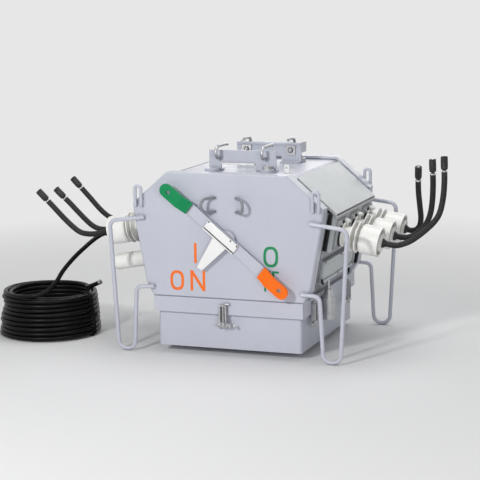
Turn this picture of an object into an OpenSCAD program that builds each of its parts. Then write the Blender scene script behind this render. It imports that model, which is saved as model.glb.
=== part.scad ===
// Pole-top load break switch: a welded steel tank with folded end covers,
// three bushings on each side, hanger brackets, rod legs and an operating lever.
// The tank stands on its legs at z = 0, front cover towards -Y.

/* [Tank] */
// Width across the widest corners of the end covers
tank_w = 756; // [720:2:800]
// Width of each sloping shoulder
shoulder_w = 139; // [128:1:150]
// How far each tapered side draws in from the corner to its foot
taper_in = 52; // [44:1:60]
// How far the chamfer under each tapered side draws in
chamfer_in = 28; // [20:1:36]
// Depth over the two end covers
tank_d = 694; // [680:2:740]
// Height of the roof above the ground
roof_z = 696; // [690:2:730]
// Height of the sloping shoulders
shoulder_h = 120; // [105:1:130]
// Height of the upright edge under the shoulders
edge_h = 50; // [40:1:60]
// Height of the tapered sides
taper_h = 260; // [250:1:270]
// Height of the chamfer under the tapered sides
chamfer_h = 22; // [15:1:30]
// Height of the upright foot of the end covers
cover_foot_h = 23; // [18:1:28]
// Sheet thickness of the end covers
cover_t = 4; // [3:0.5:6]
// Depth of the folded edge of the end covers
cover_fold = 58; // [40:1:70]
// Size of the rounding bevel on the face of the covers
cover_bevel = 5; // [2:0.5:8]
// Distance from the tank wall to the outside of the covers
wall_inset = 12; // [8:0.5:16]

/* [Rim and pan] */
// Height of the rim skirt
rim_h = 59; // [50:1:70]
// Sheet thickness of the rim skirt
rim_t = 5; // [3:0.5:8]
// Gap between the pan and the inside of the rim
pan_gap = 6; // [2:0.5:10]
// Visible height of the bottom pan
pan_h = 135; // [120:1:140]
// Distance from the face of the covers to the front of the pan
pan_setback = 16; // [11:1:30]
// Width of the ledge round the opening in the rim's top plate
rim_ledge = 70; // [60:1:90]
// Radius of the upright corners of the pan
pan_corner_r = 12; // [6:1:30]

/* [Shoulder hoods] */
// Length of the hood over each row of bushings
hood_len = 530; // [520:2:550]
// How far the lip of the hood lies outside the tank's corner
hood_out = 28; // [26:1:34]
// Height of the hood's lip
hood_lip = 16; // [12:1:20]
// Sheet thickness of the hood
hood_t = 3; // [2:0.5:4]
// How far the hood's top lies below the covers' edge
hood_drop = 2; // [1:0.5:4]

/* [Bushings] */
// Distance between the bushings of one side
phase_pitch = 170; // [160:1:176]
// Distance from the roof down to the middle of the bushing blocks
block_drop = 216; // [212:1:221]
// How far the bushings' axes lie below the middle of their block
bushing_low = 10; // [0:1:12]
// Length of the bushing block along the tank
block_len = 520; // [516:2:530]
// Height of the bushing block
block_h = 144; // [136:1:148]
// How far the bushing block stands off the wall
block_reach = 36; // [30:1:37]
// Length of a bushing from the block to its mouth
bushing_len = 171; // [165:1:180]
// Diameter of the bushing's body
bushing_d = 62; // [56:1:66]
// Width of the square clamp plate round each bushing
clamp_w = 116; // [108:1:118]
// Thickness of the clamp plates
clamp_t = 10; // [8:1:12]
// Diameter of the bushing's foot
foot_d = 96; // [88:1:100]
// Thickness of the bushing's foot
foot_t = 12; // [8:1:14]
// Diameter of the sheds
shed_d = 118; // [108:1:122]
// Distance from shed to shed
shed_pitch = 20; // [18:1:22]
// Outer diameter of the hood at the mouth
mouth_d = 112; // [106:1:116]
// Length of the hood
mouth_len = 74; // [68:1:76]
// Wall of the hood
mouth_wall = 7; // [5:0.5:10]
// Depth of the ring-shaped recess in the mouth
mouth_recess = 40; // [20:1:60]
// How far the core stands out of the mouth
core_out = 8; // [4:0.5:12]
// Diameter of the core in the mouth
core_d = 70; // [60:1:80]

/* [Side fittings] */
// Length of the panel on the right wall
panel_len = 430; // [400:2:460]
// Height of the side panels
panel_h = 88; // [80:1:90]
// How far the side panels stand off the wall
panel_t = 14; // [12:0.5:16]
// Diameter of the sensor bushing
sensor_d = 62; // [56:1:66]
// Diameter of the sensor bushing's flange
sensor_flange_d = 84; // [78:1:90]
// Length of the sensor bushing
sensor_len = 195; // [180:1:200]
// Height of the sensor bushing where it leaves the wall
sensor_z = 349; // [340:1:352]
// Diameter of the drain cup
cup_d = 50; // [44:1:54]
// Height of the drain cup
cup_h = 86; // [76:1:92]
// Diameter of the cable gland
gland_d = 34; // [30:1:38]
// Height of the cable gland
gland_z = 386; // [382:1:388]

/* [Leads] */
// Diameter of the power leads
lead_d = 22; // [20:0.5:24]
// Diameter of the caps on the ends of the leads
lead_cap_d = 27; // [25:0.5:30]
// Length of the caps
lead_cap_len = 62; // [50:1:70]
// Diameter of the control cable
cable_d = 18; // [16:0.5:20]

/* [Hanger] */
// Length of a hanger bracket
hanger_len = 270; // [250:2:290]
// Height of the hanger brackets above the roof
hanger_h = 68; // [62:1:80]
// Distance between the middles of the two brackets
hanger_pitch = 310; // [280:2:330]
// Plate thickness of the brackets
hanger_t = 8; // [6:0.5:12]
// Width of the open slot under a bracket
hanger_slot_w = 140; // [110:2:150]
// Height of the open slot under a bracket
hanger_slot_h = 14; // [8:1:16]
// How far the slot lies to the left of the bracket's middle
hanger_slot_shift = 16; // [0:1:16]
// Diameter of the round pads that bolt the brackets to the roof
pad_d = 54; // [46:1:58]
// Distance between the pads of one bracket
pad_pitch = 224; // [216:2:230]
// Depth of the flanges at the ends of the rear bracket
end_flange = 62; // [40:1:70]
// Rod diameter of the hook bolts
hook_d = 12; // [10:0.5:14]
// Bend radius of the hook bolts
hook_r = 24; // [20:1:26]
// Distance between the two hook bolts of a bracket
hook_pitch = 186; // [180:2:200]
// Height of the hook bolts' shanks above the roof
hook_z = 38; // [34:1:40]
// How far a hook's upper rod reaches in over its bracket
hook_in = 66; // [40:1:80]
// Size of the square washers under the hook bolts
washer_w = 38; // [34:1:42]

/* [Rods] */
// Rod diameter of the legs
leg_d = 16; // [12:0.5:20]
// How far the outer rod lies outside the tank's corner at its top bend
leg_top_out = 94; // [82:1:102]
// How far the outer rod lies outside the tank's corner at the foot
leg_foot_out = 67; // [62:1:77]
// Distance between the two rods at the foot
leg_foot_w = 66; // [62:1:76]
// How far the inner rod's top lies outside the foot of the tapered side
leg_in_out = 40; // [36:1:44]
// Rod diameter of the lifting eyes
eye_d = 13; // [10:0.5:14]
// Distance between the two rods of a lifting eye
eye_w = 24; // [22:0.5:28]
// Height of a lifting eye
eye_h = 84; // [70:1:90]
// Rod diameter of the rope cleats
cleat_d = 11; // [9:0.5:12]
// Distance between the two rods of a cleat
cleat_w = 52; // [46:1:56]
// Length of the straight rods of a cleat
cleat_len = 32; // [28:1:36]

/* [Operating lever] */
// Height of the lever's pivot below the roof
pivot_drop = 244.5; // [240:0.5:256]
// How far the pivot lies to the right of the middle
pivot_x = 5; // [0:1:8]
// Distance from the pivot to the hook-stick holes
lever_hole_r = 278; // [260:1:282]
// Diameter of the hook-stick holes
lever_hole_d = 16; // [12:1:18]
// Width of the lever bar
lever_w = 42; // [36:1:46]
// Thickness of the lever bar
lever_t = 8; // [6:0.5:10]
// Width of the coloured grips
grip_w = 50; // [46:1:54]
// Length of the coloured grips
grip_len = 134; // [110:1:140]
// Thickness of the coloured grips
grip_t = 10; // [8:0.5:12]
// How far the ends of the lever are cranked outwards
crank_out = 16; // [10:1:16]
// Length of the slope of each crank
crank_run = 36; // [28:1:38]
// Slope of the lever at rest
lever_tilt = 39; // [37:0.5:41]
// Diameter of the pivot shaft
shaft_d = 30; // [24:1:34]
// Gap round the pivot shaft
shaft_gap = 0.08; // [0.05:0.01:0.1]
// Diameter of the pivot boss
boss_d = 66; // [56:1:72]
// How far the boss stands off the cover
boss_t = 14; // [12:0.5:20]
// Gap between the boss and the lever
boss_gap = 1.5; // [1:0.25:3]
// Length of the pointer from the pivot
pointer_len = 142; // [130:1:150]
// Length of the indicator plate
plate_len = 155; // [140:1:160]
// Width of the indicator plate
plate_w = 40; // [34:1:44]

/* [Hidden] */
$fn = 48;
eps = 0.01;

// Paint and part colours
paint = [0.76, 0.78, 0.84];
pale_paint = [0.78, 0.81, 0.81];
steel = [0.75, 0.75, 0.76];
porcelain = [0.93, 0.93, 0.90];
rubber = [0.16, 0.16, 0.17];

// Widths of the roof, of the foot of the tapered sides, of the rim and of the pan
roof_w = tank_w - 2 * shoulder_w;
taper_w = tank_w - 2 * taper_in;
rim_w = taper_w - 2 * chamfer_in;
pan_w = rim_w - 2 * rim_t - 2 * pan_gap;

// Heights of the corners of the end covers, from the roof down
shoulder_z = roof_z - shoulder_h;
edge_z = shoulder_z - edge_h;
taper_z = edge_z - taper_h;
chamfer_z = taper_z - chamfer_h;
cover_z = chamfer_z - cover_foot_h;
rim_z = cover_z - rim_h;
pan_z = rim_z - pan_h;
block_z = roof_z - block_drop;
// The upright edge leans in by this much from its top to its foot
edge_lean = 4;
face_y = tank_d / 2;

// Gap left at the seat of a welded rod or a bolted piece
seat = 0.2;
// Gap between the tank's ends and the inside of the covers
cover_gap = 0.5;

// Slopes of the shoulder and of the tapered wall
shoulder_a = atan2(shoulder_h, shoulder_w);
wall_a = atan2(taper_in - edge_lean, taper_h);

// The origin stands under the middle of the part, cords left out
cleat_lean = 50;
cleat_reach = (cleat_len + cleat_w / 2) * sin(cleat_lean) + cleat_d / 2;
rear_reach = seat + leg_d;
shift_y = (cleat_reach - rear_reach) / 2;

// Corners of the covers' outline, counter-clockwise from the foot
outline = [
  [rim_w / 2, cover_z], [rim_w / 2, chamfer_z], [taper_w / 2, taper_z],
  [tank_w / 2 - edge_lean, edge_z], [tank_w / 2, shoulder_z], [roof_w / 2, roof_z],
  [-roof_w / 2, roof_z], [-tank_w / 2, shoulder_z], [-tank_w / 2 + edge_lean, edge_z],
  [-taper_w / 2, taper_z], [-rim_w / 2, chamfer_z], [-rim_w / 2, cover_z]];

// Outward direction of the edge that starts at corner i of a counter-clockwise outline
function edge_out(p, i) =
  let (v = p[(i + 1) % len(p)] - p[i])
  [v.y, -v.x] / norm(v);

// The same outline with every edge moved in by d
function inset(p, d) = [
  for (i = [0:len(p) - 1])
    let (a = edge_out(p, (i + len(p) - 1) % len(p)), b = edge_out(p, i))
    p[i] - d * (a + b) / (1 + a * b)];

// Height of the shoulder at x, for a surface d inside the covers' outline
function shoulder_at(x, d) = roof_z - (x - roof_w / 2) * tan(shoulder_a) - d / cos(shoulder_a);

// Half width of the tank wall at height z on the taper
function wall_at(z) = taper_w / 2 + (z - taper_z) * tan(wall_a) - wall_inset / cos(wall_a);

// Everything is modelled about the middle of the tank and then moved to the origin
module placed() {
  translate([0, shift_y, 0]) children();
}

// Mirrors to the left when side is -1
module sided(side) {
  mirror([side < 0 ? 1 : 0, 0, 0]) children();
}

// Turns to the rear when end is -1
module ended(end) {
  mirror([0, end < 0 ? 1 : 0, 0]) children();
}

// A frame on the tapered wall at height z: +X outwards, +Z up along the wall
module on_wall(side, z) {
  sided(side) translate([wall_at(z), 0, z]) rotate([0, wall_a, 0]) children();
}

// A prism along Y of an outline in X and Z, from y0 to y1
module along_y(y0, y1) {
  translate([0, y1, 0]) rotate([90, 0, 0]) linear_extrude(y1 - y0) children();
}

// ---- Tank ----

module tank_body() placed() {
  body_y = face_y - cover_t - cover_gap;
  neck_y = face_y - cover_fold - cover_gap;
  neck_x = rim_w / 2 - wall_inset;
  color(paint) {
    along_y(-body_y, body_y) polygon(inset(outline, wall_inset));
    translate([-neck_x, -neck_y, cover_z]) cube([2 * neck_x, 2 * neck_y, wall_inset + 1]);
  }
}

// A dished cover: a bevelled face with its edges folded back over the tank
module end_cover(end) {
  color(paint) ended(end) difference() {
    hull() {
      along_y(-face_y + cover_bevel, -face_y + cover_fold) polygon(outline);
      along_y(-face_y, -face_y + eps) polygon(inset(outline, cover_bevel));
    }
    along_y(-face_y + cover_t, -face_y + cover_fold + eps) polygon(inset(outline, cover_t));
  }
}

module front_cover() placed() end_cover(1);

module rear_cover() placed() end_cover(-1);

// ---- Rim and pan ----

module rim_skirt() placed() {
  color(paint) difference() {
    translate([-rim_w / 2, -face_y, rim_z]) cube([rim_w, tank_d, rim_h]);
    translate([-rim_w / 2 + rim_t, -face_y + rim_t, rim_z - eps])
      cube([rim_w - 2 * rim_t, tank_d - 2 * rim_t, rim_h - rim_t + eps]);
    translate([-rim_w / 2 + rim_ledge, -face_y + rim_ledge, rim_z])
      cube([rim_w - 2 * rim_ledge, tank_d - 2 * rim_ledge, rim_h + eps]);
  }
}

module bottom_pan() placed() {
  x = pan_w / 2 - pan_corner_r;
  y = face_y - pan_setback - pan_corner_r;
  height = pan_h + rim_h - rim_t - seat;
  color(paint) hull() {
    for (i = [-1, 1], j = [-1, 1]) {
      translate([i * x, j * y, pan_z]) cylinder(r = pan_corner_r, h = height, $fn = 32);
    }
  }
}

// ---- Shoulder hoods ----

// A folded sheet that lies on the shoulder and overhangs the bushing block
module shoulder_hood(side) {
  x0 = roof_w / 2 + 16;
  x1 = tank_w / 2 + hood_out;
  lip_z = shoulder_at(x1, hood_drop) - hood_lip;
  color(pale_paint) sided(side) difference() {
    along_y(-hood_len / 2, hood_len / 2) polygon([
      [x0, shoulder_at(x0, wall_inset)], [x0, shoulder_at(x0, hood_drop)],
      [x1, shoulder_at(x1, hood_drop)], [x1, lip_z], [x1 - hood_t, lip_z],
      [x1 - hood_t, shoulder_at(x1 - hood_t, wall_inset)]]);
    along_y(-hood_len / 2 + hood_t, hood_len / 2 - hood_t) polygon([
      [x0 + hood_t, shoulder_at(x0 + hood_t, 2 * wall_inset)],
      [x0 + hood_t, shoulder_at(x0 + hood_t, hood_drop + hood_t)],
      [x1 - hood_t, shoulder_at(x1 - hood_t, hood_drop + hood_t)],
      [x1 - hood_t, shoulder_at(x1 - hood_t, 2 * wall_inset)]]);
  }
}

module shoulder_hood_right() placed() shoulder_hood(1);

module shoulder_hood_left() placed() shoulder_hood(-1);

// ---- Bushings ----

// The block on one side with a square clamp plate round the foot of each bushing
module bushing_block(side) {
  color(pale_paint) on_wall(side, block_z) {
    translate([seat, -block_len / 2, -block_h / 2]) cube([block_reach - seat, block_len, block_h]);
    for (i = [-1:1]) {
      translate([block_reach - 1, i * phase_pitch - clamp_w / 2, -bushing_low - clamp_w / 2])
        cube([clamp_t + 1, clamp_w, clamp_w]);
    }
  }
}

module bushing_block_right() placed() bushing_block(1);

module bushing_block_left() placed() bushing_block(-1);

// Half profile of a bushing: radius against distance from its clamp plate
module bushing_profile() {
  r = bushing_d / 2;
  len = bushing_len - clamp_t;
  mouth_s = len - core_out;
  hood_s = mouth_s - mouth_len;
  difference() {
    union() {
      square([foot_d / 2, foot_t]);
      square([r, len - mouth_recess]);
      square([core_d / 2, len]);
      for (s = [hood_s - 2 * shed_pitch + 6, hood_s - shed_pitch + 6]) {
        polygon([[r - 2, s - 8], [shed_d / 2, s - 1], [shed_d / 2, s + 3], [r - 2, s + 6]]);
      }
      polygon([[r - 2, hood_s - 4], [mouth_d / 2 - 5, hood_s], [mouth_d / 2, hood_s + 7],
        [mouth_d / 2, mouth_s], [0, mouth_s]]);
    }
    translate([core_d / 2, mouth_s - mouth_recess])
      square([mouth_d / 2 - mouth_wall - core_d / 2, mouth_recess + eps]);
  }
}

// One bushing, standing on the clamp plate of its side
module bushing(side, i) {
  color(porcelain) on_wall(side, block_z)
    translate([block_reach + clamp_t, i * phase_pitch, -bushing_low])
    rotate([0, 90, 0]) rotate_extrude() bushing_profile();
}

module bushings_right() placed() {
  for (i = [-1:1]) {
    bushing(1, i);
  }
}

module bushings_left() placed() {
  for (i = [-1:1]) {
    bushing(-1, i);
  }
}

// Middle of a bushing's mouth, in the tank's frame
function mouth_at(side, i) =
  let (
    s = block_reach + bushing_len,
    x = wall_at(block_z) + s * cos(wall_a) - bushing_low * sin(wall_a))
  [side * x, i * phase_pitch, block_z - s * sin(wall_a) - bushing_low * cos(wall_a)];

// ---- Side panels and the sensor bushing ----

// Height of the middle of the side panels
panel_z = taper_z + 50;
// How far the sensor bushing stands in front of the tank's middle
sensor_y = 200;
// Width of the raised frame round a side panel and depth of its field
panel_frame = 12;
panel_field = 4;

// A framed cover on the lower wall, from y0 to y1
module side_panel(side, y0, y1) {
  on_wall(side, panel_z) difference() {
    translate([seat, y0, -panel_h / 2]) cube([panel_t - seat, y1 - y0, panel_h]);
    translate([panel_t - panel_field, y0 + panel_frame, -panel_h / 2 + panel_frame])
      cube([panel_field + 1, y1 - y0 - 2 * panel_frame, panel_h - 2 * panel_frame]);
  }
}

module side_panels() placed() {
  color(pale_paint) {
    side_panel(1, -panel_len / 2, panel_len / 2);
    side_panel(-1, sensor_flange_d / 2 + 8 - sensor_y, panel_len / 2);
  }
}

// A smooth round bushing on its flange, under the front bushing of the left side
module sensor_bushing() placed() {
  r = sensor_d / 2;
  round_r = 10;
  color(porcelain) on_wall(-1, sensor_z) translate([seat, -sensor_y, 0])
    rotate([0, 90, 0]) rotate_extrude() union() {
      square([sensor_flange_d / 2, 8]);
      square([r, sensor_len - round_r]);
      square([r - round_r, sensor_len]);
      translate([r - round_r, sensor_len - round_r]) intersection() {
        circle(r = round_r);
        square(round_r);
      }
    }
}

// ---- Power leads and control cable ----

// Routes of the leads after the bushing's mouth
lead_right_routes = [
  [[586, -170, 428], [610, -170, 426], [650, -167, 439], [683, -161, 460], [715, -150, 487],
    [743, -140, 516], [761, -130, 549], [769, -113, 600], [770, -97, 655], [767, -84, 700]],
  [[584, 0, 428], [607, 0, 429], [633, 0, 439], [662, 0, 460], [688, 0, 489], [704, 0, 525],
    [709, 0, 575], [706, 0, 640], [702, 0, 680]],
  [[577, 168, 430], [594, 160, 438], [612, 148, 462], [624, 134, 502], [629, 116, 553],
    [630, 95, 608], [630, 76, 645]]];
lead_left_routes = [
  [[-584, -170, 427], [-615, -170, 418], [-651, -170, 415], [-686, -170, 420],
    [-717, -170, 439], [-757, -170, 473], [-801, -170, 516], [-828, -170, 542]],
  [[-583, 0, 427], [-609, 0, 417], [-645, 0, 408], [-685, 0, 408], [-720, 0, 423],
    [-758, 0, 455], [-808, 0, 503], [-836, 0, 529]],
  [[-580, 170, 428], [-602, 170, 423], [-639, 170, 417], [-679, 170, 418], [-719, 170, 432],
    [-757, 170, 460], [-809, 170, 514], [-844, 170, 550]]];
// Route of the control cable from its gland to the coil, and of its free end past the coil
cable_route = [
  [-436, 106, 370], [-500, 84, 368], [-560, 42, 374], [-600, 0, 386], [-642, -40, 397],
  [-667, -90, 379], [-690, -140, 350], [-715, -185, 316], [-740, -232, 272], [-754, -268, 232],
  [-775, -302, 202], [-803, -321, 188]];
tail_route = [[-718, -58, 178], [-703, -92, 182], [-686, -115, 189], [-664, -128, 197],
  [-643, -133, 206], [-622, -134, 216]];

// Direction of a route at point i
function along(p, i) =
  let (v = p[min(i + 1, len(p) - 1)] - p[max(i - 1, 0)])
  v / norm(v);

// A round tube of diameter d along the points p, square to them
module tube(p, d, sides) {
  m = len(p) - 1;
  rings = [
    for (i = [0:m])
      let (
        t = along(p, i),
        u0 = cross(t, [0, 1, 0.01]),
        u = u0 / norm(u0),
        w = cross(t, u))
      [for (k = [0:sides - 1]) p[i] + d / 2 * (cos(360 * k / sides) * u + sin(360 * k / sides) * w)]];
  points = [for (ring = rings) each ring];
  sleeve = [
    for (i = [0:m - 1], k = [0:sides - 1])
      let (
        a = i * sides + k,
        b = i * sides + (k + 1) % sides)
      each [[a, b, b + sides], [a, b + sides, a + sides]]];
  start = [[for (k = [sides - 1:-1:0]) k]];
  finish = [[for (k = [0:sides - 1]) m * sides + k]];
  polyhedron(points, concat(sleeve, start, finish));
}

// Direction in which a bushing of the given side points
function bushing_dir(side) = [side * cos(wall_a), 0, -sin(wall_a)];

// A lead from just off the bushing's mouth, square to it, and then along its route
module lead(side, i) {
  routes = side > 0 ? lead_right_routes : lead_left_routes;
  start = mouth_at(side, i) + seat * bushing_dir(side);
  color(rubber) tube(concat([start, start + lead_d / 2 * bushing_dir(side)], routes[i + 1]), lead_d, 10);
}

// A cap on the end of a lead
module lead_cap(side, i) {
  route = side > 0 ? lead_right_routes[i + 1] : lead_left_routes[i + 1];
  tip = route[len(route) - 1];
  dir = along(route, len(route) - 1);
  yaw = atan2(dir.y, dir.x);
  pitch = acos(dir.z);
  color(rubber) translate(tip + seat * dir) rotate([0, pitch, yaw]) cylinder(d = lead_cap_d, h = lead_cap_len);
}

module lead_right_1() placed() lead(1, -1);

module lead_right_2() placed() lead(1, 0);

module lead_right_3() placed() lead(1, 1);

module lead_left_1() placed() lead(-1, -1);

module lead_left_2() placed() lead(-1, 0);

module lead_left_3() placed() lead(-1, 1);

module lead_caps_right() placed() {
  for (i = [-1:1]) {
    lead_cap(1, i);
  }
}

module lead_caps_left() placed() {
  for (i = [-1:1]) {
    lead_cap(-1, i);
  }
}

gland_y = 110;
gland_len = 32;
gland_nose = 12;

// A screwed gland square to the left wall
module cable_gland() placed() {
  color("dimgray") on_wall(-1, gland_z) translate([seat, gland_y, 0]) rotate([0, 90, 0]) union() {
    cylinder(d = gland_d, h = gland_len - gland_nose);
    cylinder(d1 = gland_d - 4, d2 = cable_d + 6, h = gland_len);
  }
}

// Middle of the coil on the ground, and its size
coil_x = -850;
coil_y = -150;
coil_h = 186;
coil_r = 206;
coil_top_r = 190;
coil_wall = 40;

module control_cable() placed() {
  reach = gland_len + 2 * seat;
  start = [-wall_at(gland_z) - reach * cos(wall_a), gland_y, gland_z - reach * sin(wall_a)];
  color(rubber) {
    tube(concat([start, start + cable_d * bushing_dir(-1)], cable_route), cable_d, 10);
    tube(tail_route, cable_d, 10);
  }
}

module cable_coil() placed() {
  color(rubber) translate([coil_x, coil_y, 0]) rotate_extrude() polygon([
    [coil_r - coil_wall, 0], [coil_r, 0], [coil_top_r, coil_h], [coil_top_r - coil_wall, coil_h]]);
}

// ---- Hanger ----

// Top of the tank between the covers, where the brackets stand
deck_z = roof_z - wall_inset + seat;
// Sheet thickness of the brackets' base flanges, the flanges' depth and the height of the pads
base_t = 6;
base_w = 34;
pad_h = 14;
// How far the middle of a pad lies outside its bracket
pad_out = 36;
// Room round a hook bolt's shank in its bracket
shank_gap = 0.15;

// Places something at both hook bolts of the bracket at this end, on the bracket's middle plane
module at_hooks(end) {
  for (i = [-1, 1]) {
    ended(end) translate([i * hook_pitch / 2, -hanger_pitch / 2, roof_z + hook_z]) children();
  }
}

// An upright bracket plate with a base flange, two feet, roof pads and hook bolt holes
module hanger(end) {
  outer = -hanger_pitch / 2 - hanger_t / 2;
  plate_h = roof_z + hanger_h - deck_z;
  difference() {
    ended(end) difference() {
      union() {
        translate([-hanger_len / 2, outer, deck_z]) cube([hanger_len, hanger_t, plate_h]);
        translate([-hanger_len / 2, outer, deck_z]) cube([hanger_len, base_w, base_t]);
        for (i = [-1, 1]) {
          translate([i * pad_pitch / 2, outer - pad_out, deck_z]) cylinder(d = pad_d, h = pad_h);
          translate([i * pad_pitch / 2 - pad_d / 2, outer - pad_out, deck_z])
            cube([pad_d, pad_out + 1, base_t]);
        }
      }
      translate([-hanger_slot_shift - hanger_slot_w / 2, outer - 1, deck_z - 1])
        cube([hanger_slot_w, base_w + 2, roof_z + hanger_slot_h - deck_z + 1]);
    }
    at_hooks(end) translate([0, -hanger_t, 0]) rotate([-90, 0, 0])
      cylinder(d = hook_d + 2 * shank_gap, h = 2 * hanger_t);
  }
}

module hanger_front() placed() color(paint) hanger(1);

// The rear bracket also has a flange bent back at each end, down to half its height
module hanger_rear() placed() color(paint) {
  hanger(-1);
  for (i = [-1, 1]) {
    translate([i * (hanger_len / 2 - base_t / 2) - base_t / 2, hanger_pitch / 2, roof_z + hanger_h * 0.4])
      cube([base_t, hanger_t / 2 + end_flange, hanger_h * 0.6]);
  }
}

// Two rods joined by a half ring in the X-Z plane, the left one of height h0, the right one of h1
module staple(w, h0, h1, d) {
  top = max(h0, h1);
  translate([-w / 2, 0, top - h0]) cylinder(d = d, h = h0);
  translate([w / 2, 0, top - h1]) cylinder(d = d, h = h1);
  translate([0, 0, top]) rotate([90, 0, 0]) rotate_extrude(angle = 180) translate([w / 2, 0]) circle(d = d);
}

// How far the hooks' rods stay straight outside the bracket, and their end inside the washer
hook_out = 10;
shank_in = 8;

// Hook bolts: a shank through the bracket, a half ring outside and a rod back over the bracket
module hanger_hooks() placed() {
  shank = hook_out + hanger_t + shank_in;
  rod = hook_out + hanger_t + hook_in;
  color(steel) for (end = [1, -1]) {
    at_hooks(end) translate([0, rod - hook_out - hanger_t / 2, hook_r]) rotate([90, 0, 0])
      rotate([0, 0, 90]) staple(2 * hook_r, shank, rod, hook_d);
  }
}

// Square washers on the inner faces of the brackets, open in a ring round the shanks
module hook_washers() placed() {
  washer_t = 5;
  color(steel) for (end = [1, -1]) {
    at_hooks(end) translate([0, hanger_t / 2 + seat, 0]) difference() {
      translate([-washer_w / 2, 0, -washer_w / 2]) cube([washer_w, washer_t, washer_w]);
      translate([0, -1, 0]) rotate([-90, 0, 0]) cylinder(d = 2 * hook_d, h = washer_t + 2);
    }
  }
}

// ---- Lifting eyes ----

// Middle and foot of a lifting eye
eye_x = tank_w / 2 - 26;
eye_z = edge_z + 38;

module lifting_eyes() placed() {
  y = face_y + seat + eye_d / 2;
  rod = eye_h - eye_w / 2 - eye_d / 2;
  color(paint) for (end = [1, -1], side = [1, -1]) {
    ended(end) translate([side * eye_x, -y, eye_z]) staple(eye_w, rod, rod, eye_d);
  }
}

// ---- Legs ----

// Points round the bend of radius r at corner b of the route a, b, c
function bend_points(a, b, c, r, n) =
  let (
    u = (b - a) / norm(b - a),
    w = (c - b) / norm(c - b),
    turn = acos(u * w),
    inward = u.x * w.y - u.y * w.x > 0 ? [-u.y, u.x] : [u.y, -u.x],
    centre = b - u * r * tan(turn / 2) + inward * r)
  [for (k = [0:n]) centre + r * (sin(turn * k / n) * u - cos(turn * k / n) * inward)];

// Route through the corners p, given in X and Z, with bends of radii r
function bent_route(p, r, n) = [
  for (i = [0:len(p) - 1])
    let (here = i == 0 || i == len(p) - 1 ? [p[i]] : bend_points(p[i - 1], p[i], p[i + 1], r[i], n))
    each [for (q = here) [q.x, 0, q.y]]];

// A leg: out from the cover, down, round the foot, up and back to the cover
module leg(side, end) {
  foot_z = leg_d / 2;
  foot_x = tank_w / 2 + leg_foot_out;
  corners = [
    [tank_w / 2 - 50, edge_z - 3], [tank_w / 2 + leg_top_out, edge_z - 21], [foot_x, foot_z],
    [foot_x - leg_foot_w, foot_z], [taper_w / 2 + leg_in_out, taper_z - 12],
    [rim_w / 2 - 5, taper_z - 8]];
  color(paint) ended(end) sided(side) translate([0, -face_y - seat - leg_d / 2, 0])
    tube(bent_route(corners, [0, 28, 32, 32, 24, 0], 6), leg_d, 12);
}

module leg_front_right() placed() leg(1, 1);

module leg_front_left() placed() leg(-1, 1);

module leg_rear_right() placed() leg(1, -1);

module leg_rear_left() placed() leg(-1, -1);

// ---- Latches ----

latch_w = 28;
latch_out = 16;
latch_h = 66;
latch_t = 5;
latch_drop = 27;
wing_w = 62;

// A latch on a wall at y = 0: a channel over the rim's edge, a bolt and a wing nut below it
module latch() {
  foot = rim_z - latch_drop;
  bolt_y = -latch_out / 2;
  translate([-latch_w / 2, -latch_out, foot]) difference() {
    cube([latch_w, latch_out - seat, latch_h]);
    translate([latch_t, -1, -1]) cube([latch_w - 2 * latch_t, latch_out - latch_t + 1, latch_h - latch_t + 1]);
  }
  translate([0, bolt_y, foot - 24]) cylinder(d = 8, h = latch_h + 24 - latch_t + 1);
  translate([0, bolt_y, foot - 12]) cylinder(d = latch_out, h = 12);
  translate([0, bolt_y, foot - 12]) cube([wing_w, 4, 14], center = true);
}

module end_latches() placed() {
  color(steel) for (end = [1, -1]) {
    ended(end) translate([-latch_w / 2, -face_y, 0]) latch();
  }
}

side_latch_y = 225;

module side_latches() placed() {
  color(steel) for (side = [1, -1], j = [-1, 1]) {
    sided(side) translate([rim_w / 2, j * side_latch_y, 0]) rotate([0, 0, 90]) latch();
  }
}

// ---- Drain cup ----

cup_y = -104;
cup_sink = 18;
dome_h = 30;
neck_d = 12;

// A domed cup against the side of the rim, with a neck up to the right side panel
module drain_cup() placed() {
  panel_foot = panel_z - panel_h / 2 * cos(wall_a) - panel_t * sin(wall_a);
  color(steel) translate([rim_w / 2 + cup_d / 2 + seat, cup_y, 0]) {
    top = cover_z - cup_sink;
    translate([0, 0, top - cup_h]) cylinder(d = cup_d, h = cup_h);
    translate([0, 0, top]) cylinder(d1 = cup_d - 4, d2 = neck_d + 12, h = dome_h);
    translate([0, 0, top]) cylinder(d = neck_d, h = panel_foot - top - seat);
  }
}

// ---- Operating lever ----

pivot_z = roof_z - pivot_drop;
bar_y = face_y + boss_t + boss_gap;
grip_y = bar_y + lever_t;
// Thickness of the pointer and of the indicator plate
plate_t = 3;
// Outer and inner end of a grip, and how far the bar reaches under it
grip_r1 = lever_hole_r + 37;
grip_r0 = grip_r1 - grip_len;
bar_lap = 50;
// Where the cranks begin, past the inner ends of the grips
crank_r = grip_r0 + 9;

// The lever's own frame: X along the lever towards the orange grip, Z across it
module on_lever() {
  translate([pivot_x, 0, pivot_z]) rotate([0, lever_tilt, 0]) children();
}

module pivot_boss() placed() {
  color(paint) translate([pivot_x, 0, pivot_z]) rotate([90, 0, 0]) difference() {
    translate([0, 0, face_y + seat]) cylinder(d = boss_d, h = boss_t - seat);
    translate([0, 0, face_y]) cylinder(d = shaft_d + 2 * shaft_gap, h = boss_t + 1);
  }
}

// Front edge of the cranked lever from radius r0 out to r1, raised by d
function crank_line(r0, r1, d) = [
  [r0, -grip_y - d], [crank_r, -grip_y - d], [crank_r + crank_run, -grip_y - d - crank_out],
  [r1, -grip_y - d - crank_out]];

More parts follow.
